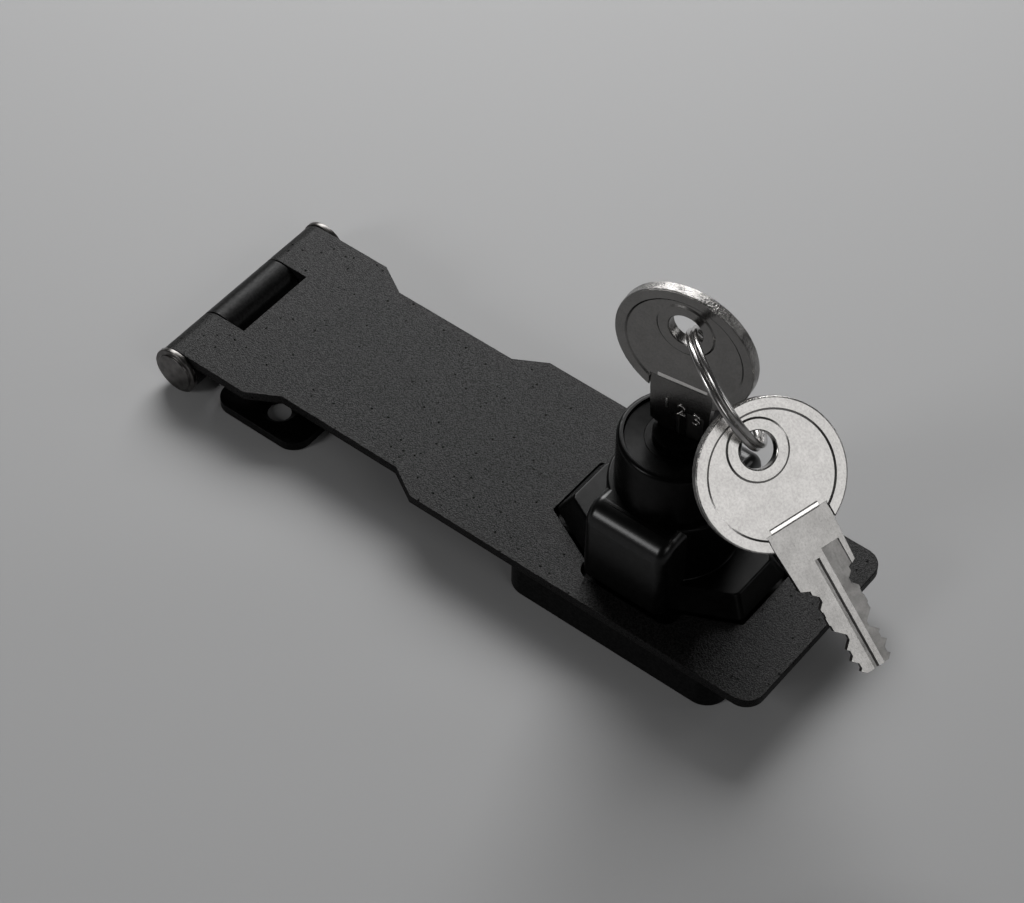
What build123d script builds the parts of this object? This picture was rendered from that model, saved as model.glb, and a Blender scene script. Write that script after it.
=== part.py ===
from build123d import *

import math
import os

# Keyed hasp lock for a cabinet, with one key in the knob and a spare key on a split ring.
# Millimetres. The origin is on the knob's axis at the underside of the base, +X runs along the hasp
# away from the hinge, and +Z points up out of the cabinet's face.

os.makedirs("parts", exist_ok=True)

# Sheet and hasp
sheet = 1.8
hasp_top = 8.8
hasp_width = 38.8
hasp_end = 30.2
hasp_corner = 3.5
waist_width = 32.0
waist_far = 71.4
waist_near = 46.0
waist_ramp = 5.8

# Hinge
hinge_reach = 92.5
knuckle_diameter = 8.6
pin_clearance = 0.05
middle_knuckle = 16.4
knuckle_gap = 0.2
notch_depth = 5.7
seam_gap = 0.5
pin_head_radius = 4.5
pin_face_radius = 3.6
pin_head_thickness = 1.3
pin_head_step = 0.35
pin_head_gap = 0.1

# Leaf
leaf_near_edge = 7.5
leaf_length = 19.4
leaf_corner = 3.5
leaf_hole_inset = 8.9
leaf_hole_pitch = 27.0

# Screw holes, the same in the leaf and the base
screw_hole_radius = 2.1
screw_sink_radius = 3.7
screw_sink_angle = 90

# Base
base_front = 22.6
base_back = 20.8
base_width = 37.4
base_corner = 4.0
base_edge = 0.5
base_hole_pitch_x = 33.0
base_hole_pitch_y = 28.0
spindle_radius = 6.45
running_clearance = 0.05
collar_wall = 2.1
collar_height = 5.4
collar_notch_depth = 3.0
collar_notch_play = 0.2
recess_radius = 9.6
recess_depth = 3.6
lug_track_radius = 11.3
lug_track_depth = 3.0

# Knob, outside
knob_lift = 0.4
head_half_length = 19.0
head_end_width = 12.6
head_half_width = 13.5
head_flank_angle = 26.0
head_height = 3.5
head_taper = 32.0
body_height = 16.1
body_radius = 11.2
body_round = 0.5
wing_half_width = 8.1
wing_reach = 14.3
wing_crown = 3.8
wing_side_round = 1.8
barrel_radius = 10.1
knob_height = 27.0
barrel_round = 0.8
hole_gap = 0.45
lift_room = 1.9

# Knob, inside
face_radius = 9.0
face_depth = 1.9
sleeve_radius = 7.85
sleeve_clearance = 0.05
tail_room_radius = 5.0
tail_room_height = 2.5
collar_side_gap = 0.3
collar_top_gap = 0.2

# Cylinder: sleeve, plug, clip and dowels
flange_thickness = 1.35
flange_side_gap = 0.2
face_dish = 0.25
plug_radius = 5.0
plug_collar_radius = 4.4
plug_collar_height = 0.9
plug_step_radius = 5.6
plug_step_height = 0.8
sleeve_end_wall = 1.4
tail_radius = 3.4
tail_reach = 3.7
clip_groove_radius = 2.7
clip_radius = 4.4
clip_thickness = 0.5
clip_opening = 70.0
clip_facing = -90.0
dowel_radius = 0.8
dowel_length = 6.0
drive_pin_radius = 0.7
drive_pin_throw = 2.2
drive_pin_length = 3.9
drive_pin_lift = 0.3
fit_gap = 0.03

# Lock bolt
bolt_height = 2.4
bolt_body_width = 7.2
bolt_body_back = 2.6
bolt_body_front = 2.2
bolt_nose_width = 3.8
bolt_nose_end = 6.2
bolt_slot_play = 0.5
bolt_gap = 0.1

# Stop plate, washer and screw under the base
stop_radius = 8.9
stop_thickness = 1.5
stop_lug_reach = 11.0
stop_lug_angle = 20.0
knob_swing = 90.0
stop_play = 1.5
lug_start = 200.0
washer_height = 0.8
washer_thickness = 0.35
washer_inner = 6.8
washer_outer = 8.6
pip_radius = 0.75
pip_height = 0.9
pip_pitch = 8.4
screw_radius = 1.3
screw_length = 7.6
screw_tip = 0.4
screw_head_radius = 2.8
screw_slot_width = 0.8
screw_slot_depth = 0.7

# Keys
bow_radius = 12.2
bow_field = 1.7
bow_rim = 2.1
rim_width = 1.8
key_hole_radius = 3.0
key_hole_offset = 4.5
eyelet_radius = 4.8
neck_start = 8.0
neck_half_width = 5.6
neck_end_half_width = 5.05
shoulder_distance = 18.9
shoulder_slope = 0.7
blade_half_width = 3.65
blade_length = 16.0
blade_tip = 1.6
blade_thickness = 1.5
groove_start = 3.8
groove_offset = 0.22
groove_width = 0.85
groove_depth = 0.35
channel_start = 4.9
channel_inner = 1.2
channel_outer = 4.3
channel_depth = 0.3
first_cut = 4.4
cut_pitch = 2.5
cut_flat = 0.9
cut_depths = (0.15, 0.2, 1.7, 0.9, 1.2)
stop_notch_distance = 2.0
stop_notch_depth = 0.85
key_yaw = 8.0
shoulder_gap = 0.6
keyway_side_gap = 0.1
keyway_end_gap = 0.7

# Wafers and their springs
wafer_thickness = 1.0
wafer_gap = 0.08
wafer_end_radius = 4.9
wafer_half_width = 2.3
wafer_window_play = 0.75
wafer_window_side = 0.2
ear_reach = 3.5
ear_half_width = 0.55
ear_room = 1.7
wafer_groove_half_width = 2.5
wafer_groove_radius = 6.0
spring_coil_radius = 0.42
spring_wire = 0.2
spring_turns = 4
spring_length = 2.3
spring_end_gap = 0.1

# Split ring: where it runs from the inserted key's hole, and how it faces
wire_radius = 0.5
ring_radius = 10.3
ring_turn_gap = 0.04
ring_jog = 40.0
ring_jog_start = 70.0
ring_offset_side = 0.95
ring_offset_up = 0.0
ring_azimuth = -17.0
ring_drop = 30.8
ring_roll = 36.5

# Spare key: where its hole lies about the ring's wire, and how it hangs
spare_offset_along = 0.1
spare_offset_side = -0.7
spare_azimuth = -8.0
spare_drop = 43.7
spare_roll = 109.3

# Derived levels
hasp_half = hasp_width / 2
base_top = hasp_top - sheet
knob_bottom = hasp_top + knob_lift
knob_top = knob_bottom + knob_height
knuckle_radius = knuckle_diameter / 2
knuckle_bore = knuckle_radius - sheet
hinge_z = hasp_top - knuckle_radius
leaf_bottom = hinge_z - knuckle_radius
pin_radius = knuckle_bore - pin_clearance
collar_inner = spindle_radius + running_clearance
collar_outer = collar_inner + collar_wall
collar_top = base_top + sheet + collar_height
cavity_radius = collar_outer + collar_side_gap
cavity_top = collar_top + collar_top_gap
collar_notch_width = bolt_nose_width + 2 * collar_notch_play
bolt_floor = collar_top - collar_notch_depth + bolt_gap
bolt_top = bolt_floor + bolt_height
tail_room_floor = bolt_top + bolt_gap
sleeve_ledge = tail_room_floor + tail_room_height
sleeve_bottom = sleeve_ledge + sleeve_clearance
flange_bottom = knob_top - face_depth
sleeve_top = flange_bottom + flange_thickness
plug_step_bottom = sleeve_top - face_dish - plug_step_height
plug_bottom = sleeve_bottom + sleeve_end_wall + fit_gap
tail_bottom = plug_bottom - tail_reach
clip_bottom = sleeve_bottom - bolt_gap - clip_thickness
plug_top = knob_top + plug_collar_height
shoulder_z = plug_top + shoulder_gap
bow_centre_z = shoulder_z + shoulder_distance
keyway_bottom = shoulder_z - blade_length - keyway_end_gap
spindle_bottom = recess_depth - washer_height
stop_bottom = spindle_bottom - stop_thickness
slot_height = wafer_thickness + 2 * wafer_gap
wafer_levels = [shoulder_z - first_cut - number * cut_pitch for number in range(len(cut_depths))]


def head_outline(gap):
    """The long head's plan outline, grown by a gap all round."""
    end = head_half_length
    half = head_end_width / 2
    turn = end - (head_half_width - half) / math.tan(math.radians(head_flank_angle))
    Polygon(
        (end, -half),
        (end, half),
        (turn, head_half_width),
        (-turn, head_half_width),
        (-end, half),
        (-end, -half),
        (-turn, -head_half_width),
        (turn, -head_half_width),
    )
    if gap:
        offset(amount=gap)


def wedge(reach, start, swing, mode=Mode.INTERSECT):
    """A slice about the origin, cut off well outside the reach."""
    angles = (math.radians(start + swing * share) for share in (0, 0.5, 1))
    corners = [(2 * reach * math.cos(angle), 2 * reach * math.sin(angle)) for angle in angles]
    Polygon((0, 0), *corners, mode=mode)


def hanging_plane(origin, azimuth, drop, roll):
    """A plane whose x dips below the horizon towards an azimuth, rolled about that direction."""
    turn = math.radians(azimuth)
    dip = math.radians(drop)
    spin = math.radians(roll)
    along = Vector(math.cos(dip) * math.cos(turn), math.cos(dip) * math.sin(turn), -math.sin(dip))
    side = Vector(-math.sin(turn), math.cos(turn), 0)
    facing = side * math.cos(spin) + along.cross(side) * math.sin(spin)
    return Plane(origin=origin, x_dir=along, z_dir=facing)


# Hasp: waisted sheet with the head's hole and a notch for the middle knuckle
waist_half = waist_width / 2
notch_half = middle_knuckle / 2 + knuckle_gap
notch_reach = knuckle_radius + notch_depth

with BuildPart() as hasp_plate:
    with BuildSketch(Plane.XY.offset(base_top)):
        with BuildLine():
            Polyline(
                (-hinge_reach, -hasp_half),
                (-waist_far - waist_ramp, -hasp_half),
                (-waist_far, -waist_half),
                (-waist_near, -waist_half),
                (-waist_near + waist_ramp, -hasp_half),
                (hasp_end, -hasp_half),
                (hasp_end, hasp_half),
                (-waist_near + waist_ramp, hasp_half),
                (-waist_near, waist_half),
                (-waist_far, waist_half),
                (-waist_far - waist_ramp, hasp_half),
                (-hinge_reach, hasp_half),
                close=True,
            )
        make_face()
        fillet(vertices().group_by(Axis.X)[-1], radius=hasp_corner)
    extrude(amount=sheet)
    with BuildSketch(Plane.XY.offset(base_top)):
        head_outline(hole_gap)
        # Longer away from the hinge, for the arc that the knob's wings pass through it on
        with Locations((lift_room / 2, 0)):
            RectangleRounded(
                2 * (wing_half_width + hole_gap) + lift_room,
                2 * (wing_reach + hole_gap),
                wing_side_round + hole_gap,
            )
    extrude(amount=sheet, mode=Mode.SUBTRACT)
    # Two curls of the same sheet, left open by a seam under the plate
    with BuildSketch(Plane.XZ.offset(-hasp_half)):
        with Locations((-hinge_reach, hinge_z)):
            Circle(knuckle_radius)
            Circle(knuckle_bore, mode=Mode.SUBTRACT)
        with Locations((-hinge_reach + knuckle_radius / 2, hinge_z + knuckle_bore - seam_gap / 2)):
            Rectangle(knuckle_radius, seam_gap, mode=Mode.SUBTRACT)
    extrude(amount=hasp_width)
    with BuildSketch():
        with Locations((-hinge_reach - knuckle_diameter, 0)):
            Rectangle(
                knuckle_diameter + notch_depth, 2 * notch_half, align=(Align.MIN, Align.CENTER)
            )
    extrude(amount=hasp_top, mode=Mode.SUBTRACT)
hasp_plate.part.label = "hasp_plate"
export_step(hasp_plate.part, "parts/hasp_plate.step")

# Leaf: sheet with the middle knuckle curled up from it, screwed to the fixed side
leaf_start = -hinge_reach + leaf_near_edge
leaf_hole_x = leaf_start + leaf_length - leaf_hole_inset

with BuildPart() as hinge_leaf:
    with BuildSketch(Plane.XY.offset(leaf_bottom)):
        with Locations((leaf_start + leaf_length / 2, 0)):
            RectangleRounded(leaf_length, hasp_width, leaf_corner)
        with Locations((-hinge_reach, 0)):
            Rectangle(leaf_near_edge + leaf_corner, middle_knuckle, align=(Align.MIN, Align.CENTER))
    extrude(amount=sheet)
    with BuildSketch(Plane.XZ.offset(-middle_knuckle / 2)):
        with Locations((-hinge_reach, hinge_z)):
            Circle(knuckle_radius)
            Circle(knuckle_bore, mode=Mode.SUBTRACT)
        with Locations((-hinge_reach + knuckle_radius / 2, hinge_z - knuckle_bore + seam_gap / 2)):
            Rectangle(knuckle_radius, seam_gap, mode=Mode.SUBTRACT)
    extrude(amount=middle_knuckle)
    with Locations(Plane.XY.offset(leaf_bottom + sheet)):
        with Locations((leaf_hole_x, -leaf_hole_pitch / 2), (leaf_hole_x, leaf_hole_pitch / 2)):
            CounterSinkHole(screw_hole_radius, screw_sink_radius, counter_sink_angle=screw_sink_angle)
hinge_leaf.part.label = "hinge_leaf"
export_step(hinge_leaf.part, "parts/hinge_leaf.step")

# Hinge pin: a shaft with a stepped head at each end
pin_half = hasp_half + pin_head_gap
pin_end = pin_half + pin_head_thickness

with BuildPart() as hinge_pin:
    with BuildSketch(Plane.XY.offset(hinge_z)):
        with Locations((-hinge_reach, 0)):
            Rectangle(pin_radius, 2 * pin_half, align=(Align.MIN, Align.CENTER))
            Rectangle(pin_face_radius, 2 * pin_end, align=(Align.MIN, Align.CENTER))
            Rectangle(pin_head_radius, 2 * (pin_end - pin_head_step), align=(Align.MIN, Align.CENTER))
        with Locations((-hinge_reach + pin_radius, 0)):
            Rectangle(
                pin_head_radius, 2 * pin_half, align=(Align.MIN, Align.CENTER), mode=Mode.SUBTRACT
            )
    revolve(axis=Axis((-hinge_reach, 0, hinge_z), (0, 1, 0)))
hinge_pin.part.label = "hinge_pin"
export_step(hinge_pin.part, "parts/hinge_pin.step")

# Base: block with a notched collar for the knob's spindle, and a recess for the stop plate
with BuildPart() as lock_base:
    with BuildSketch():
        with Locations(((base_front - base_back) / 2, 0)):
            RectangleRounded(base_front + base_back, base_width, base_corner)
    extrude(amount=base_top)
    chamfer(edges().group_by(Axis.Z)[-1], length=base_edge)
    with BuildSketch(Plane.XY.offset(base_top)):
        Circle(collar_outer)
    extrude(amount=collar_top - base_top)
    with BuildSketch(Plane.XY.offset(recess_depth)):
        Circle(collar_inner)
    extrude(amount=collar_top - recess_depth, mode=Mode.SUBTRACT)
    with BuildSketch():
        Circle(recess_radius)
    extrude(amount=recess_depth, mode=Mode.SUBTRACT)
    with BuildSketch():
        Circle(lug_track_radius)
        wedge(
            lug_track_radius,
            lug_start - stop_lug_angle / 2 - stop_play,
            knob_swing + stop_lug_angle + 2 * stop_play,
        )
    extrude(amount=lug_track_depth, mode=Mode.SUBTRACT)
    # One notch for each end of the quarter turn
    with BuildSketch(Plane.XY.offset(collar_top)):
        Rectangle(collar_outer, collar_notch_width, align=(Align.MIN, Align.CENTER))
        Rectangle(collar_notch_width, collar_outer, align=(Align.CENTER, Align.MIN))
    extrude(amount=-collar_notch_depth, mode=Mode.SUBTRACT)
    with Locations(Plane.XY.offset(base_top)):
        with GridLocations(base_hole_pitch_x, base_hole_pitch_y, 2, 2):
            CounterSinkHole(screw_hole_radius, screw_sink_radius, counter_sink_angle=screw_sink_angle)
lock_base.part.label = "lock_base"
export_step(lock_base.part, "parts/lock_base.step")

# Knob: the long head, the arched wings and the barrel over one spindle, hollow for the cylinder
with BuildPart() as knob_body:
    with BuildSketch(Plane.YZ.offset(-wing_half_width)):
        with Locations((0, knob_bottom)):
            Rectangle(2 * wing_reach, body_height, align=(Align.CENTER, Align.MIN))
        fillet(vertices().group_by(Axis.Y)[-1], radius=wing_crown)
    extrude(amount=2 * wing_half_width)
    side_edges = faces().filter_by(Axis.X).edges()
    fillet(side_edges.group_by(Axis.Z)[1:], radius=wing_side_round)
    with BuildSketch(Plane.XZ):
        Polygon(
            (0, knob_bottom),
            (body_radius, knob_bottom),
            (body_radius, knob_bottom + body_height),
            (barrel_radius, knob_bottom + body_height),
            (barrel_radius, knob_top),
            (0, knob_top),
        )
        fillet(vertices().group_by(Axis.X)[-1].sort_by(Axis.Y)[-1], radius=body_round)
        fillet(vertices().group_by(Axis.Y)[-1].sort_by(Axis.X)[-1], radius=barrel_round)
    revolve(axis=Axis.Z)
    with BuildSketch(Plane.XY.offset(knob_bottom)):
        head_outline(0)
    extrude(amount=head_height, taper=head_taper)
    # Room for the cylinder and its flange, then for the plug's tail
    with BuildSketch(Plane.XY.offset(flange_bottom)):
        Circle(face_radius)
    extrude(amount=face_depth, mode=Mode.SUBTRACT)
    with BuildSketch(Plane.XY.offset(sleeve_ledge)):
        Circle(sleeve_radius + sleeve_clearance)
    extrude(amount=flange_bottom - sleeve_ledge, mode=Mode.SUBTRACT)
    with BuildSketch(Plane.XY.offset(tail_room_floor)):
        Circle(tail_room_radius)
    extrude(amount=tail_room_height, mode=Mode.SUBTRACT)
    # Groove for the dowel that stops the cylinder from turning
    with BuildSketch(Plane.XY.offset(flange_bottom)):
        with Locations((-sleeve_radius, 0)):
            Circle(dowel_radius + fit_gap)
    extrude(amount=-dowel_length - bolt_gap, mode=Mode.SUBTRACT)
    # Room for the base's collar, with the spindle standing in it
    with BuildSketch(Plane.XY.offset(knob_bottom)):
        Circle(cavity_radius)
    extrude(amount=cavity_top - knob_bottom, mode=Mode.SUBTRACT)
    with BuildSketch(Plane.XY.offset(spindle_bottom)):
        Circle(spindle_radius)
        Circle(tail_room_radius, mode=Mode.SUBTRACT)
    extrude(amount=cavity_top - spindle_bottom)
    with BuildSketch(Plane.XY.offset(spindle_bottom)):
        Circle(tail_room_radius)
    extrude(amount=tail_room_floor - spindle_bottom)
    # Channel for the lock bolt
    channel_back = bolt_body_back + 2 * bolt_gap
    channel_front = bolt_body_front + drive_pin_throw + bolt_gap
    with BuildSketch(Plane.XY.offset(bolt_floor)):
        with Locations((-channel_back, 0)):
            Rectangle(
                channel_back + channel_front, bolt_body_width + 2 * bolt_gap, align=(Align.MIN, Align.CENTER)
            )
        Rectangle(cavity_radius, bolt_nose_width + 2 * bolt_gap, align=(Align.MIN, Align.CENTER))
    extrude(amount=bolt_height + bolt_gap, mode=Mode.SUBTRACT)
    # Two pips that carry the stop plate round, and the screw's hole
    with BuildSketch(Plane.XY.offset(spindle_bottom)):
        with GridLocations(pip_pitch, 0, 2, 1):
            Circle(pip_radius)
    extrude(amount=-pip_height)
    with BuildSketch(Plane.XY.offset(spindle_bottom)):
        Circle(screw_radius + running_clearance)
    extrude(amount=screw_length - stop_thickness + drive_pin_lift, mode=Mode.SUBTRACT)
knob_body.part.label = "knob_body"
export_step(knob_body.part, "parts/knob_body.step")

# Cylinder sleeve: flanged housing with the plug's bore and two grooves for the wafers
key_plane = Plane.XY.rotated((0, 0, key_yaw))
plug_bore = plug_radius + running_clearance
face_rim = face_radius - flange_side_gap
step_room = plug_step_radius + running_clearance
tail_bore = tail_radius + running_clearance

with BuildPart() as cylinder_sleeve:
    with BuildSketch(Plane.XZ):
        with BuildLine():
            Polyline(
                (tail_bore, sleeve_bottom),
                (sleeve_radius, sleeve_bottom),
                (sleeve_radius, flange_bottom),
                (face_rim, flange_bottom),
                (face_rim, sleeve_top),
                (step_room, sleeve_top - face_dish),
                (step_room, plug_step_bottom),
                (plug_bore, plug_step_bottom),
                (plug_bore, sleeve_bottom + sleeve_end_wall),
                (tail_bore, sleeve_bottom + sleeve_end_wall),
                close=True,
            )
        make_face()
    revolve(axis=Axis.Z)
    with BuildSketch(key_plane.offset(sleeve_bottom + sleeve_end_wall)):
        Circle(wafer_groove_radius)
        Rectangle(
            2 * wafer_groove_radius, 2 * wafer_groove_half_width, mode=Mode.INTERSECT
        )
    extrude(amount=wafer_levels[0] + slot_height / 2 - sleeve_bottom - sleeve_end_wall, mode=Mode.SUBTRACT)
    with BuildSketch(Plane.XY.offset(flange_bottom)):
        with Locations((-sleeve_radius, 0)):
            Circle(dowel_radius + fit_gap)
    extrude(amount=-dowel_length - bolt_gap, mode=Mode.SUBTRACT)
cylinder_sleeve.part.label = "cylinder_sleeve"
export_step(cylinder_sleeve.part, "parts/cylinder_sleeve.step")

# Dowel between the sleeve and the knob
with BuildPart() as sleeve_dowel:
    with BuildSketch(Plane.XY.offset(flange_bottom - bolt_gap / 2)):
        with Locations((-sleeve_radius, 0)):
            Circle(dowel_radius)
    extrude(amount=-dowel_length)
sleeve_dowel.part.label = "sleeve_dowel"
export_step(sleeve_dowel.part, "parts/sleeve_dowel.step")

# Plug: turns in the sleeve, slotted for the key and the wafers
slot_half_width = wafer_half_width + running_clearance
pocket_reach = ear_reach + bolt_gap
pocket_back = ear_half_width + spring_end_gap + spring_length + spring_end_gap

with BuildPart() as key_plug:
    with BuildSketch(Plane.XZ):
        with BuildLine():
            Polyline(
                (0, tail_bottom),
                (tail_radius, tail_bottom),
                (tail_radius, clip_bottom - bolt_gap / 2),
                (clip_groove_radius, clip_bottom - bolt_gap / 2),
                (clip_groove_radius, clip_bottom + clip_thickness + bolt_gap / 2),
                (tail_radius, clip_bottom + clip_thickness + bolt_gap / 2),
                (tail_radius, plug_bottom),
                (plug_radius, plug_bottom),
                (plug_radius, plug_step_bottom + fit_gap),
                (plug_step_radius, plug_step_bottom + fit_gap),
                (plug_step_radius, sleeve_top - face_dish),
                (plug_collar_radius, sleeve_top - face_dish),
                (plug_collar_radius, plug_top),
                (0, plug_top),
                close=True,
            )
        make_face()
    revolve(axis=Axis.Z)
    with BuildSketch(key_plane.offset(keyway_bottom)):
        Rectangle(
            2 * (blade_half_width + keyway_side_gap), blade_thickness + 2 * keyway_side_gap
        )
    extrude(amount=plug_top - keyway_bottom, mode=Mode.SUBTRACT)
    for number, level in enumerate(wafer_levels):
        slot_plane = key_plane.rotated((0, 0, 180 * (number % 2))).offset(level - slot_height / 2)
        with BuildSketch(slot_plane):
            Rectangle(2 * plug_step_radius, 2 * slot_half_width)
            with Locations((-pocket_back, 0)):
                Rectangle(pocket_back + ear_room, pocket_reach, align=(Align.MIN, Align.MIN))
        extrude(amount=slot_height, mode=Mode.SUBTRACT)
    with BuildSketch(Plane.XY.offset(tail_bottom)):
        with Locations((0, drive_pin_throw)):
            Circle(drive_pin_radius)
    extrude(
        amount=bolt_floor + drive_pin_lift + drive_pin_length - tail_bottom, mode=Mode.SUBTRACT
    )
key_plug.part.label = "key_plug"
export_step(key_plug.part, "parts/key_plug.step")

# Drive pin: pressed off centre into the plug's tail, it moves the bolt
with BuildPart() as drive_pin:
    with BuildSketch(Plane.XY.offset(bolt_floor + drive_pin_lift)):
        with Locations((0, drive_pin_throw)):
            Circle(drive_pin_radius)
    extrude(amount=drive_pin_length)
drive_pin.part.label = "drive_pin"
export_step(drive_pin.part, "parts/drive_pin.step")

# Clip: open ring in the tail's groove, under the sleeve
with BuildPart() as plug_clip:
    with BuildSketch(Plane.XY.offset(clip_bottom)):
        Circle(clip_radius)
        Circle(clip_groove_radius + running_clearance, mode=Mode.SUBTRACT)
        wedge(clip_radius, clip_facing - clip_opening / 2, clip_opening, mode=Mode.SUBTRACT)
    extrude(amount=clip_thickness)
plug_clip.part.label = "plug_clip"
export_step(plug_clip.part, "parts/plug_clip.step")

# Lock bolt: the drive pin turns in its slot and slides it out into a collar notch
slot_half = drive_pin_radius + bolt_slot_play

with BuildPart() as lock_bolt:
    with BuildSketch(Plane.XY.offset(bolt_floor)):
        with Locations((-bolt_body_back, 0)):
            Rectangle(
                bolt_body_back + bolt_body_front, bolt_body_width, align=(Align.MIN, Align.CENTER)
            )
        Rectangle(bolt_nose_end, bolt_nose_width, align=(Align.MIN, Align.CENTER))
        with Locations((0, -drive_pin_radius - bolt_gap)):
            Rectangle(
                2 * slot_half,
                drive_pin_throw + 2 * (drive_pin_radius + bolt_gap),
                align=(Align.CENTER, Align.MIN),
                mode=Mode.SUBTRACT,
            )
    extrude(amount=bolt_height)
lock_bolt.part.label = "lock_bolt"
export_step(lock_bolt.part, "parts/lock_bolt.step")

# Stop plate: turns with the spindle, its lug runs in the base's track
with BuildPart() as stop_plate:
    with BuildSketch(Plane.XY.offset(stop_bottom)):
        Circle(stop_lug_reach)
        wedge(stop_lug_reach, lug_start - stop_lug_angle / 2, stop_lug_angle)
        Circle(stop_radius)
    extrude(amount=stop_thickness)
    with BuildSketch(Plane.XY.offset(stop_bottom)):
        with GridLocations(pip_pitch, 0, 2, 1):
            Circle(pip_radius + running_clearance)
    extrude(amount=stop_thickness, mode=Mode.SUBTRACT)
    with Locations(Plane(origin=(0, 0, stop_bottom), z_dir=(0, 0, -1))):
        CounterSinkHole(
            screw_radius + 2 * running_clearance,
            screw_head_radius + running_clearance,
            counter_sink_angle=screw_sink_angle,
        )
stop_plate.part.label = "stop_plate"
export_step(stop_plate.part, "parts/stop_plate.step")

# Cone washer: springs between the base and the stop plate
with BuildPart() as cone_washer:
    with BuildSketch(Plane.XZ):
        Polygon(
            (washer_inner, recess_depth - washer_thickness),
            (washer_outer, spindle_bottom),
            (washer_outer, spindle_bottom + washer_thickness),
            (washer_inner, recess_depth),
        )
    revolve(axis=Axis.Z)
cone_washer.part.label = "cone_washer"
export_step(cone_washer.part, "parts/cone_washer.step")

# Retaining screw: countersunk into the stop plate
screw_bottom = stop_bottom + fit_gap
head_depth = screw_head_radius - screw_radius

with BuildPart() as retaining_screw:
    with BuildSketch(Plane.XZ):
        with BuildLine():
            Polyline(
                (0, screw_bottom),
                (screw_head_radius, screw_bottom),
                (screw_radius, screw_bottom + head_depth),
                (screw_radius, screw_bottom + screw_length - screw_tip),
                (screw_radius - screw_tip, screw_bottom + screw_length),
                (0, screw_bottom + screw_length),
                close=True,
            )
        make_face()
    revolve(axis=Axis.Z)
    with BuildSketch(Plane.XY.offset(screw_bottom)):
        Rectangle(2 * screw_head_radius, screw_slot_width)
    extrude(amount=screw_slot_depth, mode=Mode.SUBTRACT)
retaining_screw.part.label = "retaining_screw"
export_step(retaining_screw.part, "parts/retaining_screw.step")

# Wafers: every second one is turned round, so that its ear and spring stand on the other side
window_half = blade_half_width + wafer_window_play
window_side = blade_thickness / 2 + wafer_window_side

for number, level in enumerate(wafer_levels):
    wafer_plane = key_plane.rotated((0, 0, 180 * (number % 2))).offset(level)
    with BuildPart() as wafer:
        with BuildSketch(wafer_plane):
            Circle(wafer_end_radius)
            Rectangle(2 * wafer_end_radius, 2 * wafer_half_width, mode=Mode.INTERSECT)
            Rectangle(2 * ear_half_width, ear_reach, align=(Align.CENTER, Align.MIN))
            Rectangle(2 * window_half, 2 * window_side, mode=Mode.SUBTRACT)
        extrude(amount=wafer_thickness / 2, both=True)
    wafer.part.label = f"wafer_{number + 1}"
    export_step(wafer.part, f"parts/wafer_{number + 1}.step")

    # The spring lies beside the wafer and pushes on its ear
    spring_start = -ear_half_width - spring_end_gap - spring_length + spring_wire / 2
    spring_axis_y = (wafer_half_width + ear_reach) / 2
    spring_origin = wafer_plane.from_local_coords((spring_start, spring_axis_y, 0))
    coil_length = spring_length - spring_wire
    with BuildPart() as wafer_spring:
        with BuildLine():
            coil = Helix(
                coil_length / spring_turns,
                coil_length,
                spring_coil_radius,
                center=spring_origin,
                direction=wafer_plane.x_dir,
            )
        with BuildSketch(Plane(origin=coil @ 0, z_dir=coil % 0)):
            Rectangle(spring_wire, spring_wire)
        sweep(is_frenet=True)
    wafer_spring.part.label = f"wafer_spring_{number + 1}"
    export_step(wafer_spring.part, f"parts/wafer_spring_{number + 1}.step")


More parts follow.
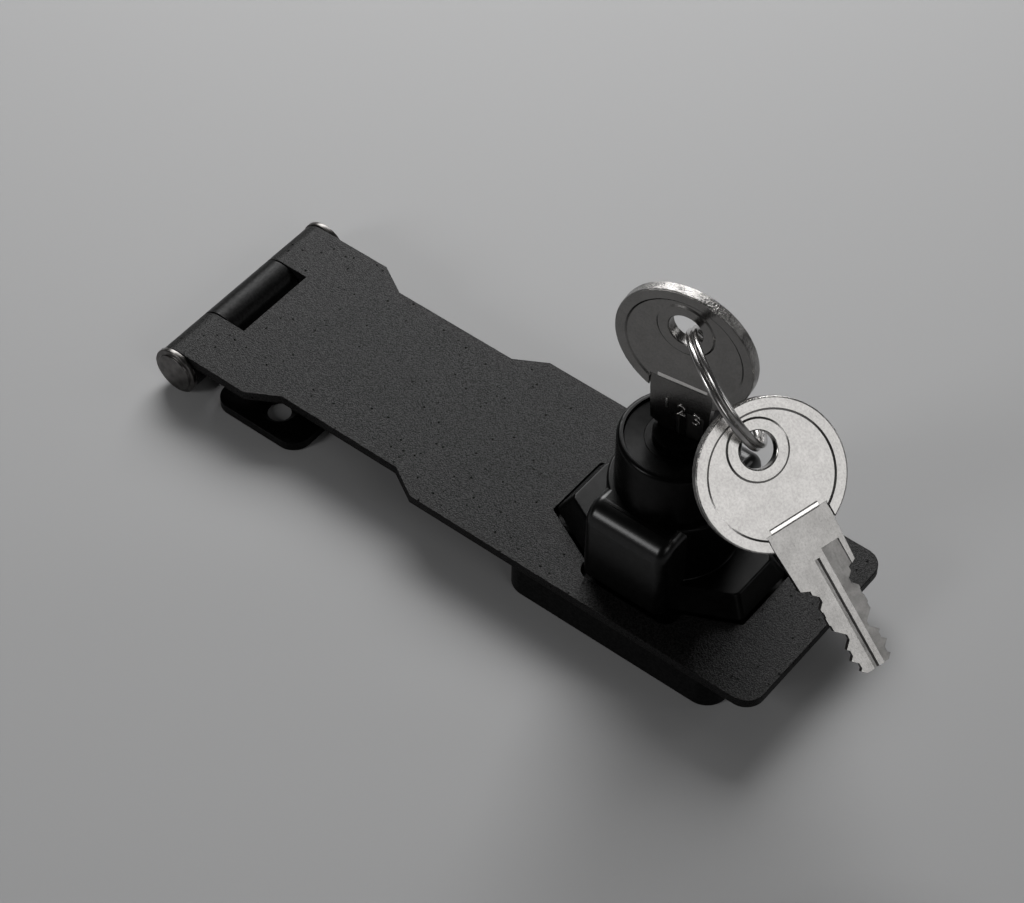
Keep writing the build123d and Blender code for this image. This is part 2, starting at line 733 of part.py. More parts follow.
def make_key(plane):
    """A flat key whose bow is centred on the plane's origin and whose blade runs along its x."""
    shoulder = shoulder_distance
    tip = shoulder_distance + blade_length
    with BuildPart() as key:
        with BuildSketch(plane):
            Circle(bow_radius)
        extrude(amount=bow_field / 2, both=True)
        with BuildSketch(plane):
            Circle(bow_radius)
            Circle(bow_radius - rim_width, mode=Mode.SUBTRACT)
            with Locations((-key_hole_offset, 0)):
                Circle(eyelet_radius)
        extrude(amount=bow_rim / 2, both=True)
        # The neck is let into the bow with a straight step
        with BuildSketch(plane):
            with Locations((neck_start, 0)):
                Rectangle(bow_radius, 2 * neck_half_width, align=(Align.MIN, Align.CENTER))
        extrude(amount=bow_rim / 2, both=True, mode=Mode.SUBTRACT)
        with BuildSketch(plane):
            Polygon(
                (neck_start, -neck_half_width),
                (shoulder - shoulder_slope, -neck_end_half_width),
                (shoulder, -blade_half_width),
                (shoulder, blade_half_width),
                (shoulder - shoulder_slope, neck_end_half_width),
                (neck_start, neck_half_width),
            )
            Polygon(
                (shoulder, -blade_half_width),
                (tip - blade_tip, -blade_half_width),
                (tip, -blade_half_width + blade_tip),
                (tip, blade_half_width - blade_tip),
                (tip - blade_tip, blade_half_width),
                (shoulder, blade_half_width),
            )
            cuts = [(first_cut + number * cut_pitch, depth) for number, depth in enumerate(cut_depths)]
            for distance, depth in [(stop_notch_distance, stop_notch_depth), *cuts]:
                centre = shoulder + distance
                for edge in (-blade_half_width, blade_half_width):
                    floor = edge - math.copysign(depth, edge)
                    Polygon(
                        (centre - cut_flat / 2 - depth, edge),
                        (centre - cut_flat / 2, floor),
                        (centre + cut_flat / 2, floor),
                        (centre + cut_flat / 2 + depth, edge),
                        mode=Mode.SUBTRACT,
                    )
        extrude(amount=blade_thickness / 2, both=True)
        with BuildSketch(plane):
            with Locations((-key_hole_offset, 0)):
                Circle(key_hole_radius)
        extrude(amount=bow_rim, both=True, mode=Mode.SUBTRACT)
        # Each face has a milled groove, and a channel at one side that leaves a thin prong on the neck
        for side in (1, -1):
            face = plane.offset(side * blade_thickness / 2)
            with BuildSketch(face):
                with Locations((shoulder - groove_start, -side * groove_offset)):
                    Rectangle(
                        blade_length + groove_start, groove_width, align=(Align.MIN, Align.CENTER)
                    )
            extrude(amount=groove_depth, both=True, mode=Mode.SUBTRACT)
            with BuildSketch(face):
                with Locations((shoulder - channel_start, side * (channel_inner + channel_outer) / 2)):
                    Rectangle(
                        blade_length + channel_start,
                        channel_outer - channel_inner,
                        align=(Align.MIN, Align.CENTER),
                    )
            extrude(amount=channel_depth, both=True, mode=Mode.SUBTRACT)
    return key.part


# Key in the knob, upright with its bow above the plug
inserted_key = make_key(hanging_plane((0, 0, bow_centre_z), key_yaw, 90, 0))
inserted_key.label = "inserted_key"
export_step(inserted_key, "parts/inserted_key.step")

# Split ring: two turns of wire side by side, joined by a jog
turn = math.radians(key_yaw)
ring_pass = Vector(
    ring_offset_side * math.cos(turn),
    ring_offset_side * math.sin(turn),
    bow_centre_z + key_hole_offset + ring_offset_up,
)
ring_hang = hanging_plane((0, 0, 0), ring_azimuth, ring_drop, ring_roll)
ring_plane = Plane(
    origin=ring_pass + ring_hang.x_dir * ring_radius, x_dir=ring_hang.x_dir, z_dir=ring_hang.z_dir
)
layer = wire_radius + ring_turn_gap / 2
jog_end = ring_jog_start + ring_jog
jog_middle = math.radians(ring_jog_start + ring_jog / 2)

with BuildPart() as split_ring:
    with BuildLine(ring_plane):
        lower = CenterArc((0, 0, -layer), ring_radius, jog_end, 360 - ring_jog, mode=Mode.PRIVATE)
        upper = CenterArc((0, 0, layer), ring_radius, jog_end, 360 - ring_jog, mode=Mode.PRIVATE)
        Spline(
            lower @ 1,
            (ring_radius * math.cos(jog_middle), ring_radius * math.sin(jog_middle), 0),
            upper @ 0,
            tangents=(lower % 1, upper % 0),
        )
    with BuildSketch(Plane(origin=lower @ 1, z_dir=lower % 1)):
        Circle(wire_radius)
    sweep()
    for arc in (lower, upper):
        with BuildSketch(Plane(origin=arc @ 0, z_dir=arc % 0)):
            Circle(wire_radius)
        revolve(axis=Axis(ring_plane.origin, ring_plane.z_dir), revolution_arc=360 - ring_jog)
split_ring.part.label = "split_ring"
export_step(split_ring.part, "parts/split_ring.step")

# Spare key, hanging on the ring
spare_hang = hanging_plane((0, 0, 0), spare_azimuth, spare_drop, spare_roll)
spare_pass = ring_plane.origin + ring_plane.x_dir * ring_radius
spare_hole = (
    spare_pass + spare_hang.x_dir * spare_offset_along + spare_hang.y_dir * spare_offset_side
)
spare_plane = Plane(
    origin=spare_hole + spare_hang.x_dir * key_hole_offset,
    x_dir=spare_hang.x_dir,
    z_dir=spare_hang.z_dir,
)

spare_key = make_key(spare_plane)
spare_key.label = "spare_key"
export_step(spare_key, "parts/spare_key.step")
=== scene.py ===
import bpy
from math import cos, pi, radians, sin
from mathutils import Matrix, Vector


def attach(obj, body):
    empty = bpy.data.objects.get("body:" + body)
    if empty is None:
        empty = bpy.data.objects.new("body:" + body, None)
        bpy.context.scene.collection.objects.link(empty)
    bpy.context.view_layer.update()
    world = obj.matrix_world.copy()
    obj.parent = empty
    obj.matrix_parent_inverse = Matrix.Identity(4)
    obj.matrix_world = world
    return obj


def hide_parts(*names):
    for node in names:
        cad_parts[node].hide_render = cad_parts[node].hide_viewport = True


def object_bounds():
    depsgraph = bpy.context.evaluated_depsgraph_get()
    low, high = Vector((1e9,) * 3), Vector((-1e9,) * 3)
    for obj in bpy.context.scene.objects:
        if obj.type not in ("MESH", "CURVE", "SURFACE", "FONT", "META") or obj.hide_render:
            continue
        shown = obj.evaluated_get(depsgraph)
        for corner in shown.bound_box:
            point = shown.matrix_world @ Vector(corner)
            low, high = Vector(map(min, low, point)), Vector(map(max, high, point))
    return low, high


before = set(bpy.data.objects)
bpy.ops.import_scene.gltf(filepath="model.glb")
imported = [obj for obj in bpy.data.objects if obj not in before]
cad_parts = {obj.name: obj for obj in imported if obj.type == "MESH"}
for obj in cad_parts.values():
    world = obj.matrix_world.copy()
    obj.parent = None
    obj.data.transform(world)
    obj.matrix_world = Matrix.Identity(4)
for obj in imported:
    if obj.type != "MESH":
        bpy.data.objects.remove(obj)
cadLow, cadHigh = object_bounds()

mm = 0.001  # sizes below are in millimetres and angles in degrees
near = 0.02  # a point that lies this close to a level or a ring belongs to it
clearStep = 0.2  # a face that is counted as above a level lies at least this much higher
mergeWithin = 0.002  # the node's triangles come loose and are joined within this distance
flatWithin = 0.5  # triangles that bend less than this angle become one face


# Small helpers for the steps that one would make by hand

def leaveEdit():
    if bpy.context.object and bpy.context.object.mode != "OBJECT":
        bpy.ops.object.mode_set(mode="OBJECT")


def makeActive(piece):
    leaveEdit()
    bpy.ops.object.select_all(action="DESELECT")
    piece.select_set(True)
    bpy.context.view_layer.objects.active = piece


def openEdit(piece, selectMode="FACE"):
    makeActive(piece)
    bpy.ops.object.mode_set(mode="EDIT")
    bpy.ops.mesh.select_mode(type=selectMode)


def openEditKeepSelection(piece, selectMode):
    makeActive(piece)
    bpy.context.tool_settings.mesh_select_mode = [selectMode == mode for mode in ("VERT", "EDGE", "FACE")]
    bpy.ops.object.mode_set(mode="EDIT")


def applyPlace(piece):
    makeActive(piece)
    bpy.ops.object.transform_apply(location=True, rotation=True, scale=True)


def applyModifier(piece, kind, **settings):
    makeActive(piece)
    modifier = piece.modifiers.new(kind.title(), kind)
    for setting, value in settings.items():
        setattr(modifier, setting, value)
    bpy.ops.object.modifier_apply(modifier=modifier.name)


def smoothPiece(piece, angle=40):
    makeActive(piece)
    bpy.ops.object.shade_smooth_by_angle(angle=radians(angle), keep_sharp_edges=False)


def flattenShading(piece):
    # a large face keeps its even shade beside a rounded edge
    applyModifier(piece, "WEIGHTED_NORMAL", weight=90, keep_sharp=True)


def roundEdges(piece, width, segments=3, angle=35):
    applyModifier(
        piece,
        "BEVEL",
        width=width * mm,
        segments=segments,
        limit_method="ANGLE",
        angle_limit=radians(angle),
        use_clamp_overlap=True,
    )


def selectVertices(piece, test):
    openEdit(piece, "VERT")
    bpy.ops.mesh.select_all(action="DESELECT")
    leaveEdit()
    for vertex in piece.data.vertices:
        vertex.select = test(vertex.co / mm)


def selectEdges(piece, test):
    openEdit(piece, "EDGE")
    bpy.ops.mesh.select_all(action="DESELECT")
    leaveEdit()
    for edge in piece.data.edges:
        edge.select = test(*(piece.data.vertices[index].co / mm for index in edge.vertices))


def bevelSelected(piece, width, segments):
    openEditKeepSelection(piece, "EDGE")
    bpy.ops.mesh.bevel(offset=width * mm, segments=segments, affect="EDGES", clamp_overlap=True)
    leaveEdit()


def copyNode(nodeName, pieceName):
    piece = bpy.data.objects.new(pieceName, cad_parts[nodeName].data.copy())
    bpy.context.scene.collection.objects.link(piece)
    makeActive(piece)
    bpy.ops.mesh.customdata_custom_splitnormals_clear()
    openEdit(piece)
    bpy.ops.mesh.select_all(action="SELECT")
    bpy.ops.mesh.remove_doubles(threshold=mergeWithin * mm)
    bpy.ops.mesh.dissolve_limited(angle_limit=radians(flatWithin))
    leaveEdit()
    return piece


def addFinish(piece, material, test):
    # gives a second finish to the faces whose middle passes the test
    piece.data.materials.append(material)
    openEdit(piece)
    bpy.ops.mesh.select_all(action="DESELECT")
    leaveEdit()
    for face in piece.data.polygons:
        face.select = test(face.center / mm)
    openEditKeepSelection(piece, "FACE")
    piece.active_material_index = len(piece.data.materials) - 1
    bpy.ops.object.material_slot_assign()
    leaveEdit()


def finishPiece(piece, body, material, replaced):
    piece.data.materials.clear()
    piece.data.materials.append(material)
    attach(piece, body)
    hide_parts(replaced)


# Materials

def startMaterial(name, **sockets):
    material = bpy.data.materials.new(name)
    material.use_nodes = True
    shader = material.node_tree.nodes["Principled BSDF"]
    for socket, value in sockets.items():
        shader.inputs[socket].default_value = value
    return material, material.node_tree, shader


def addNode(tree, kind, settings=None, **sockets):
    node = tree.nodes.new(kind)
    for setting, value in (settings or {}).items():
        setattr(node, setting, value)
    for socket, value in sockets.items():
        node.inputs[socket].default_value = value
    return node


def addNoise(tree, grain, detail):
    coordinates = addNode(tree, "ShaderNodeTexCoord")
    noise = addNode(tree, "ShaderNodeTexNoise", Scale=1 / (grain * mm), Detail=detail)
    tree.links.new(coordinates.outputs["Object"], noise.inputs["Vector"])
    return noise


def addRamp(tree, source, low, high, start, end):
    ramp = addNode(tree, "ShaderNodeValToRGB")
    ramp.color_ramp.elements[0].position = start
    ramp.color_ramp.elements[1].position = end
    ramp.color_ramp.elements[0].color = (*low, 1)
    ramp.color_ramp.elements[1].color = (*high, 1)
    tree.links.new(source.outputs["Fac"], ramp.inputs["Fac"])
    return ramp


def addBump(tree, source, shader, strength, distance):
    bump = addNode(tree, "ShaderNodeBump", Strength=strength, Distance=distance * mm)
    tree.links.new(source.outputs["Fac"], bump.inputs["Height"])
    tree.links.new(bump.outputs["Normal"], shader.inputs["Normal"])


def addRange(tree, source, fromRange, toRange):
    # maps the first range to the second one, without going past its ends
    node = addNode(tree, "ShaderNodeMapRange", {"clamp": True})
    node.inputs["From Min"].default_value, node.inputs["From Max"].default_value = fromRange
    node.inputs["To Min"].default_value, node.inputs["To Max"].default_value = toRange
    tree.links.new(source, node.inputs["Value"])
    return node.outputs["Result"]


def addPits(tree, spacing):
    # scattered pits, each at the middle of a cell: 0 in a pit and 1 outside
    coordinates = addNode(tree, "ShaderNodeTexCoord")
    cells = addNode(tree, "ShaderNodeTexVoronoi", Scale=1 / (spacing * mm))
    tree.links.new(coordinates.outputs["Object"], cells.inputs["Vector"])
    return addRange(tree, cells.outputs["Distance"], coatShape["pitEdge"], (0, 1))


def multiply(tree, first, second):
    product = addNode(tree, "ShaderNodeMath", {"operation": "MULTIPLY"})
    tree.links.new(first, product.inputs[0])
    tree.links.new(second, product.inputs[1])
    return product.outputs[0]


coatShape = {
    "detail": 3.0,
    "colourSteps": (0.4, 0.6),  # where the noise turns from the darkest to the lightest colour
    "glossSteps": (0.35, 0.65),
    "pitEdge": (0.09, 0.15),  # of a cell's width
    "bumpStrength": 0.6,
}


def makePowderCoat(name, low, high, roughness, gloss, grain, grainDepth, pitSpacing):
    # the gloss varies with the grain, so that a dark coat still shows it
    material, tree, shader = startMaterial(name, Roughness=roughness)
    speckle = addNoise(tree, grain, coatShape["detail"])
    colour = addRamp(tree, speckle, low, high, *coatShape["colourSteps"])
    level = addRange(tree, speckle.outputs["Fac"], coatShape["glossSteps"], gloss)
    if pitSpacing:
        level = multiply(tree, level, addPits(tree, pitSpacing))
    tree.links.new(level, shader.inputs["Specular IOR Level"])
    tree.links.new(colour.outputs["Color"], shader.inputs["Base Color"])
    addBump(tree, speckle, shader, coatShape["bumpStrength"], grainDepth)
    return material


metalShape = {
    "detail": 4.0,
    "colourSteps": (0.35, 0.65),
    "bumpStrength": 0.15,
    "bumpDepth": 0.02,
}


def makeMetal(name, low, high, roughness, grain):
    material, tree, shader = startMaterial(name, Metallic=1.0, Roughness=roughness)
    wear = addNoise(tree, grain, metalShape["detail"])
    colour = addRamp(tree, wear, low, high, *metalShape["colourSteps"])
    tree.links.new(colour.outputs["Color"], shader.inputs["Base Color"])
    addBump(tree, wear, shader, metalShape["bumpStrength"], metalShape["bumpDepth"])
    return material


deepBlack = (0.001, 0.001, 0.001)
softBlack = (0.002, 0.002, 0.002)
coatTable = {
    # name: darkest and lightest colour, roughness, gloss range, grain and its depth, distance of the pits
    "haspCoat": (deepBlack, (0.010, 0.0096, 0.0096), 0.42, (0.078, 0.155), 0.24, 0.14, 1.9),
    "blackCoat": (deepBlack, softBlack, 0.4, (0.08, 0.13), 0.5, 0.03, None),
    "knobSatin": (deepBlack, softBlack, 0.27, (0.10, 0.115), 1.2, 0.01, None),
    "knobHandled": (deepBlack, softBlack, 0.28, (0.34, 0.38), 1.2, 0.01, None),
    "cylinderBlack": (deepBlack, softBlack, 0.3, (0.055, 0.07), 0.8, 0.01, None),
}
metalTable = {
    # name: darkest and lightest colour, roughness, grain
    "pinSteel": ((0.085, 0.081, 0.078), (0.15, 0.143, 0.138), 0.3, 1.5),
    "steel": ((0.42, 0.42, 0.42), (0.55, 0.55, 0.55), 0.35, 1.5),
    "springSteel": ((0.40, 0.40, 0.42), (0.52, 0.52, 0.54), 0.28, 1.0),
    "waferBrass": ((0.62, 0.44, 0.20), (0.74, 0.54, 0.27), 0.35, 1.2),
    "ringNickel": ((0.44, 0.43, 0.42), (0.54, 0.53, 0.52), 0.24, 1.4),
}
finishes = {name: makePowderCoat(name, *values) for name, values in coatTable.items()}
finishes.update({name: makeMetal(name, *values) for name, values in metalTable.items()})
print("materials made")

# The pieces whose form is the solid's own, with their edges rounded
pieceTable = [
    # node, piece, body, slot, finish, edge round
    ("hasp_plate", "haspSheet", "hasp", "hasp_coat", "haspCoat", 0.28),
    ("hinge_pin", "hingePin", "hasp", "pin_steel", "pinSteel", 0.15),
    ("hinge_leaf", "leafSheet", "leaf", "black_coat", "blackCoat", 0.25),
    ("lock_base", "baseBlock", "base", "black_coat", "blackCoat", 0.2),
    ("knob_body", "knobCasting", "knob", "knob_satin", "knobSatin", 0.2),
    ("cylinder_sleeve", "sleeveFace", "knob", "cylinder_black", "cylinderBlack", 0.1),
    ("key_plug", "plugFace", "plug", "cylinder_black", "cylinderBlack", 0.1),
    ("split_ring", "ringWire", "ring", "ring_nickel", "ringNickel", 0.05),
]
headShape = {
    "top": 12.7,  # height of the knob's long head
    "endFrom": 15.5,  # its four corners lie further out than this
    "clearOfWing": 8.4,  # from the middle, along the head
    "clearOfBarrel": 11.3,  # from the middle, all round
    "depth": 1.0,  # its corner edges run down further than this
    "cornerRound": 0.9,
    "edgeRound": 0.3,
}


def roundHead(piece):
    shape = headShape
    selectEdges(
        piece,
        lambda *ends: all(abs(end.x) > shape["endFrom"] for end in ends)
        and abs(max(end.z for end in ends) - shape["top"]) < near
        and min(end.z for end in ends) < shape["top"] - shape["depth"],
    )
    bevelSelected(piece, shape["cornerRound"], segments=5)
    selectEdges(
        piece,
        lambda *ends: all(abs(end.z - shape["top"]) < near for end in ends)
        and max(abs(end.x) for end in ends) > shape["clearOfWing"],
    )
    bevelSelected(piece, shape["edgeRound"], segments=3)


for nodeName, pieceName, body, slot, finish, edge in pieceTable:
    piece = copyNode(nodeName, pieceName)
    if nodeName == "knob_body":
        roundHead(piece)
    roundEdges(piece, edge)
    smoothPiece(piece)
    flattenShading(piece)
    finishPiece(piece, body, finishes[finish], nodeName)
    if nodeName == "knob_body":
        # the wings are rubbed smoother by hands than the rest
        addFinish(
            piece,
            finishes["knobHandled"],
            lambda middle: middle.z > headShape["top"] + clearStep
            and middle.xy.length > headShape["clearOfBarrel"],
        )
print("visible pieces made")

# Keys: the solid is laid flat, dressed in its own plane and put back
keyShape = {
    "bowRadius": 12.2,
    "bowTop": 1.05,  # half the thickness of the rim and the eyelet
    "fieldTop": 0.85,
    "bladeTop": 0.75,
    "rimInner": 10.4,
    "rimFoot": 10.05,  # the rim's inner wall slopes down to here
    "eyeletRadius": 4.8,
    "eyeletFoot": 5.14,
    "holeRadius": 3.0,
    "holeOffset": -4.5,
    "neckStart": 8.0,
    "edgeRound": 0.32,
    "holeRound": 0.22,
    "fineRound": 0.06,
    "stepPlace": (7.65, -0.2),
    "stepLength": 8.8,
    "stepHalfWidth": 0.5,
    "stepHeight": 0.09,
    "stepEnds": 0.05,
    "milledDepth": 0.15,  # faces of the blade that lie deeper than this are milled
    "milledHalfWidth": 4.07,
    "wornBand": 0.25,  # the bow's outer band, rubbed bright
    "wornEnd": 10.0,
    "grooveFloor": 0.4,
    "grooveSide": 0.2,  # the groove's wall nearer to the channel, which slants by the next value
    "grooveSlant": 0.32,
    "digitPlaces": {"1": (13.6, 2.3), "2": (14.0, -0.4), "3": (14.8, -3.1)},
    "digitSize": 3.3,
    "digitHeight": 0.04,
    "digitRound": 0.13,
    "digitThinning": 0.6,  # of the round, to make up for how it widens the strokes
    "flatAngle": 15,  # a bend that is sharper than this stays a line
}


def hangingPlace(centre, azimuth, drop, roll):
    # x dips below the horizon towards the azimuth, and the plane is rolled about it
    turn, dip, spin = radians(azimuth), radians(drop), radians(roll)
    along = Vector((cos(dip) * cos(turn), cos(dip) * sin(turn), -sin(dip)))
    side = Vector((-sin(turn), cos(turn), 0))
    facing = side * cos(spin) + along.cross(side) * sin(spin)
    place = Matrix((along, facing.cross(along), facing)).transposed().to_4x4()
    return Matrix.Translation(Vector(centre) * mm) @ place


def placePiece(piece, place):
    piece.matrix_world = place
    applyPlace(piece)


def slopeWall(piece, level, radius, foot, centre):
    # moves the wall's lower ring, so that the step between the two levels becomes a slope
    for side in (1, -1):
        selectVertices(
            piece,
            lambda place: abs(place.z - side * level) < near
            and abs((place.xy - Vector((centre, 0))).length - radius) < near,
        )
        openEditKeepSelection(piece, "VERT")
        bpy.ops.transform.resize(
            value=(foot / radius, foot / radius, 1), center_override=(centre * mm, 0, 0)
        )
        leaveEdit()


def slantGroove(piece, shape):
    for side in (1, -1):
        selectVertices(
            piece,
            lambda place: place.x > shape["neckStart"]
            and abs(place.z - side * shape["grooveFloor"]) < near
            and abs(place.y - side * shape["grooveSide"]) < near,
        )
        openEditKeepSelection(piece, "VERT")
        bpy.ops.transform.translate(value=(0, -side * shape["grooveSlant"] * mm, 0))
        leaveEdit()


def roundRing(piece, level, radius, centre, width, segments):
    for side in (1, -1):
        selectEdges(
            piece,
            lambda *ends: all(
                abs(end.z - side * level) < near
                and abs((end.xy - Vector((centre, 0))).length - radius) < near
                for end in ends
            ),
        )
        bevelSelected(piece, width, segments)


def makeStepBead(side):
    bpy.ops.object.select_all(action="DESELECT")
    bpy.ops.mesh.primitive_cylinder_add(
        vertices=24,
        radius=keyShape["stepHalfWidth"] * mm,
        depth=keyShape["stepLength"] * mm,
        rotation=(pi / 2, 0, 0),
    )
    bead = bpy.context.object
    applyPlace(bead)
    openEdit(bead)
    bpy.ops.mesh.select_all(action="SELECT")
    bpy.ops.transform.resize(value=(1, 1, keyShape["stepHeight"] / keyShape["stepHalfWidth"]))
    leaveEdit()
    roundEdges(bead, keyShape["stepEnds"], angle=60)
    x, y = keyShape["stepPlace"]
    placePiece(bead, Matrix.Translation(Vector((x, y, side * keyShape["fieldTop"])) * mm))
    return bead


def makeDigit(figure, x, y):
    # raised on the neck's face that is turned to the lock's front
    bpy.ops.object.select_all(action="DESELECT")
    bpy.ops.object.text_add()
    digit = bpy.context.object
    digit.data.body = figure
    digit.data.align_x = "CENTER"
    digit.data.align_y = "CENTER"
    digit.data.size = keyShape["digitSize"] * mm
    digit.data.extrude = keyShape["digitHeight"] * mm
    digit.data.bevel_depth = keyShape["digitRound"] * mm
    digit.data.bevel_resolution = 3
    digit.data.offset = -keyShape["digitThinning"] * keyShape["digitRound"] * mm
    digit.data.resolution_u = 6
    makeActive(digit)
    bpy.ops.object.convert(target="MESH")
    across, up, out = Vector((0, -1, 0)), Vector((-1, 0, 0)), Vector((0, 0, -1))
    place = Matrix((across, up, out)).transposed().to_4x4()
    placePiece(digit, Matrix.Translation(Vector((x, y, -keyShape["bladeTop"])) * mm) @ place)
    return digit


nickelShape = {
    "layers": {
        # name: grain, detail, stretch along, across and through the key
        "cloud": (2.6, 3.0, (1, 1, 1)),
        "grain": (0.35, 2.0, (1, 1, 1)),
        "scratch": (0.3, 3.0, (0.3, 1.2, 1)),
    },
    "distortion": 0.4,
    "tint": (1.0, 0.975, 0.945),  # a little warm
    "cloudSteps": (0.3, 0.7),
    "grainDark": (0.88, 0.88, 0.88),
    "grainSteps": (0.35, 0.6),
    "roughnessSpread": 0.03,
    "bumpStrength": 0.5,
}


def makeNickel(name, place, low, high, roughness, scratchDepth):
    material, tree, shader = startMaterial(name, Metallic=1.0)
    coordinates = addNode(tree, "ShaderNodeTexCoord")
    flat = addNode(tree, "ShaderNodeMapping", Rotation=place.inverted().to_euler())
    tree.links.new(coordinates.outputs["Object"], flat.inputs["Vector"])
    noises = {}
    for layer, (size, detail, stretch) in nickelShape["layers"].items():
        mapping = addNode(tree, "ShaderNodeMapping", Scale=stretch)
        noises[layer] = addNode(tree, "ShaderNodeTexNoise", Scale=1 / (size * mm), Detail=detail)
        tree.links.new(flat.outputs["Vector"], mapping.inputs["Vector"])
        tree.links.new(mapping.outputs["Vector"], noises[layer].inputs["Vector"])
    noises["scratch"].inputs["Distortion"].default_value = nickelShape["distortion"]
    warm = Vector(nickelShape["tint"])
    colour = addRamp(tree, noises["cloud"], warm * low, warm * high, *nickelShape["cloudSteps"])
    fine = addRamp(tree, noises["grain"], nickelShape["grainDark"], (1, 1, 1), *nickelShape["grainSteps"])
    mix = addNode(tree, "ShaderNodeMix", {"data_type": "RGBA", "blend_type": "MULTIPLY"}, Factor=1.0)
    firstColour, secondColour, mixedColour = mix.inputs[6], mix.inputs[7], mix.outputs[2]
    tree.links.new(colour.outputs["Color"], firstColour)
    tree.links.new(fine.outputs["Color"], secondColour)
    tree.links.new(mixedColour, shader.inputs["Base Color"])
    spread = nickelShape["roughnessSpread"]
    roughnessRange = (roughness - spread, roughness + spread)
    polish = addRange(tree, noises["scratch"].outputs["Fac"], (0, 1), roughnessRange)
    tree.links.new(polish, shader.inputs["Roughness"])
    addBump(tree, noises["scratch"], shader, nickelShape["bumpStrength"], scratchDepth)
    return material


def makeKey(nodeName, pieceName, body, place, paintedShade):
    shape = keyShape
    key = copyNode(nodeName, pieceName)
    placePiece(key, place.inverted())
    slopeWall(key, shape["fieldTop"], shape["rimInner"], shape["rimFoot"], 0)
    slopeWall(key, shape["fieldTop"], shape["eyeletRadius"], shape["eyeletFoot"], shape["holeOffset"])
    slantGroove(key, shape)
    bow = {"radius": shape["bowRadius"], "centre": 0, "width": shape["edgeRound"]}
    hole = {"radius": shape["holeRadius"], "centre": shape["holeOffset"], "width": shape["holeRound"]}
    roundRing(key, shape["bowTop"], **bow, segments=4)
    roundRing(key, shape["bowTop"], **hole, segments=3)
    roundEdges(key, shape["fineRound"], segments=2)
    nickelTable = {
        # name: darkest and lightest colour, before the key's painted shade, roughness, depth of the
        # scratches
        "Nickel": (0.37, 0.42, 0.24, 0.03),
        # the raised digits and step bead: a lighter, rubbed-bright metal whose lightness also paints in
        # their glints (painted highlight); the key's painted shade is divided out of it
        "BurnishedGlint": (0.75 / paintedShade, 0.85 / paintedShade, 0.20, 0.01),  # as bright on either key
        # the neck: a smoother finish with deeper scratches, coloured darker as painted shade for the dark
        # reflection on it
        "Neck": (0.235, 0.285, 0.22, 0.05),
        "Milled": (0.20, 0.32, 0.36, 0.08),
        "Worn": (0.22, 0.75, 0.26, 0.3),
    }
    # every finish of the key is darkened by its painted shade
    nickel, burnishedGlint, neck, milled, worn = (
        makeNickel(pieceName + finish, place, low * paintedShade, high * paintedShade, roughness, depth)
        for finish, (low, high, roughness, depth) in nickelTable.items()
    )
    key.data.materials.clear()
    key.data.materials.append(nickel)
    extras = [makeStepBead(1), makeStepBead(-1)]
    for figure, (x, y) in shape["digitPlaces"].items():
        extras.append(makeDigit(figure, x, y))
    # the digits and the bead take the rubbed-bright metal with its painted highlight
    for extra in extras:
        extra.data.materials.clear()
        extra.data.materials.append(burnishedGlint)
    bpy.ops.object.select_all(action="DESELECT")
    for extra in extras:
        extra.select_set(True)
    key.select_set(True)
    bpy.context.view_layer.objects.active = key
    bpy.ops.object.join()
    smoothPiece(key, shape["flatAngle"])
    flattenShading(key)
    # the neck's faces get the darker finish: painted shade
    addFinish(
        key,
        neck,
        lambda middle: middle.x > shape["neckStart"] and abs(abs(middle.z) - shape["bladeTop"]) < near,
    )
    addFinish(
        key,
        milled,
        lambda middle: middle.x > shape["neckStart"]
        and abs(middle.z) < shape["bladeTop"] - shape["milledDepth"]
        and abs(middle.y) < shape["milledHalfWidth"],
    )
    addFinish(
        key,
        worn,
        lambda middle: middle.xy.length > shape["bowRadius"] - shape["wornBand"]
        and middle.x < shape["wornEnd"],
    )
    placePiece(key, place)
    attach(key, body)
    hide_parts(nodeName)


keyTable = [
    # node, piece, body, painted shade (the key's nickel is darkened by this factor), middle of the bow,
    # azimuth, drop, roll
    # the key in the lock is painted darker than the key on the ring: painted shade, standing for the dark
    # reflections that fall on it
    ("inserted_key", "keyInLock", "key_1", 0.6, (0, 0, 56.6), 8, 90, 0),
    ("spare_key", "keyOnRing", "key_2", 1.0, (20.91, -6.14, 47.21), -8, 43.7, 109.3),
]
for nodeName, pieceName, body, paintedShade, *hanging in keyTable:
    makeKey(nodeName, pieceName, body, hangingPlace(*hanging), paintedShade)
print("keys made")

# The pieces inside keep the solid's own mesh
innerFinish = {
    "sleeve_dowel": "steel",
    "drive_pin": "steel",
    "plug_clip": "springSteel",
    "lock_bolt": "steel",
    "stop_plate": "steel",
    "cone_washer": "springSteel",
    "retaining_screw": "steel",
}
for number in range(1, 6):
    innerFinish[f"wafer_{number}"] = "waferBrass"
    innerFinish[f"wafer_spring_{number}"] = "springSteel"
for nodeName, finish in innerFinish.items():
    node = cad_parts[nodeName]
    node.data.materials.clear()
    node.data.materials.append(finishes[finish])

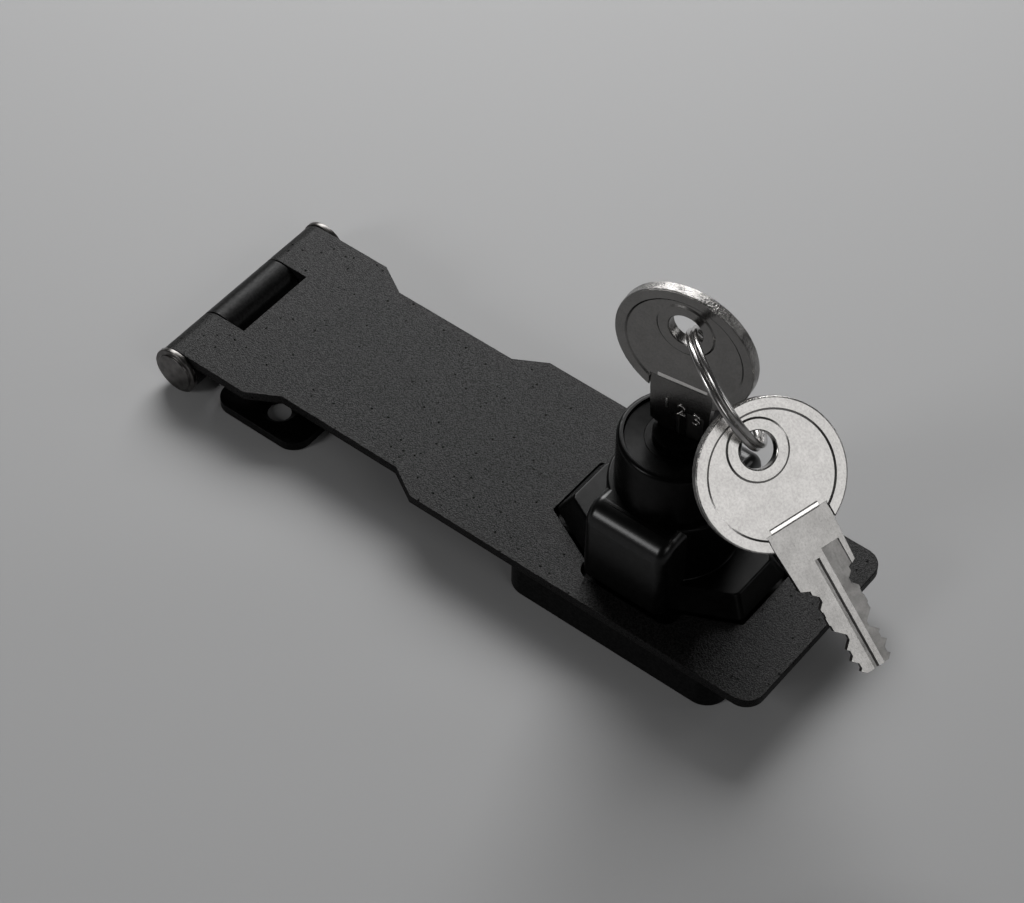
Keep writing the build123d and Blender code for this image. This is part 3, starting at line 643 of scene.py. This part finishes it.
# Floor, light and camera
stageSetup = {
    "floorSize": 6.0,  # metres
    "floorColour": (0.35, 0.35, 0.353),
    "floorRoughness": 0.6,
    "worldStrength": 0.035,
}
lampTable = {
    # name: direction from the lock, distance, width and height in metres, brightness of its face
    "backPanelLow": ((-0.52, 0.65, 0.555), 0.88, 0.68, 0.40, 9.2),
    "backPanelHigh": ((-0.48, 0.46, 0.75), 0.88, 0.66, 0.40, 0.7),
    "frontStrip": ((-0.40, -0.80, 0.44), 0.9, 0.22, 0.26, 9.6),
    "rightCard": ((0.79, -0.24, 0.56), 1.2, 0.54, 0.44, 1.9),
    "rightStrip": ((0.70, 0.64, 0.49), 1.1, 0.22, 0.45, 2.6),
}
bpy.ops.object.select_all(action="DESELECT")
bpy.ops.mesh.primitive_plane_add(size=stageSetup["floorSize"], location=(0, 0, cadLow.z))
floor = bpy.context.object
floor.name = "floor"
applyPlace(floor)
floorPaint, _, floorShader = startMaterial("floorPaint", Roughness=stageSetup["floorRoughness"])
floorShader.inputs["Base Color"].default_value = (*stageSetup["floorColour"], 1)
floor.data.materials.append(floorPaint)

for lampName, (direction, distance, width, height, brightness) in lampTable.items():
    place = Vector(direction).normalized() * distance
    bpy.ops.object.light_add(type="AREA", location=place)
    lamp = bpy.context.object
    lamp.name = lampName
    lamp.data.shape = "RECTANGLE"
    lamp.data.size = width
    lamp.data.size_y = height
    lamp.data.energy = brightness * pi * width * height
    lamp.rotation_euler = (-place).to_track_quat("-Z", "Y").to_euler()

world = bpy.data.worlds.new("studio")
world.use_nodes = True
world.node_tree.nodes["Background"].inputs["Color"].default_value = (1, 1, 1, 1)
world.node_tree.nodes["Background"].inputs["Strength"].default_value = stageSetup["worldStrength"]
bpy.context.scene.world = world
bpy.context.scene.view_settings.view_transform = "Standard"

cameraSetup = {
    # fitted to points of the photograph
    "place": (174.99, -275.22, 407.85),
    "turn": (40.765, -0.860, 38.129),
    "lens": 108.88,
    "sensor": 36.0,
    "clipStart": 10.0,
}
bpy.ops.object.camera_add(location=[value * mm for value in cameraSetup["place"]])
camera = bpy.context.object
camera.name = "photoCamera"
camera.rotation_euler = [radians(value) for value in cameraSetup["turn"]]
camera.data.lens = cameraSetup["lens"]
camera.data.sensor_width = cameraSetup["sensor"]
camera.data.clip_start = cameraSetup["clipStart"] * mm
bpy.context.scene.camera = camera
print("floor, light and camera made")
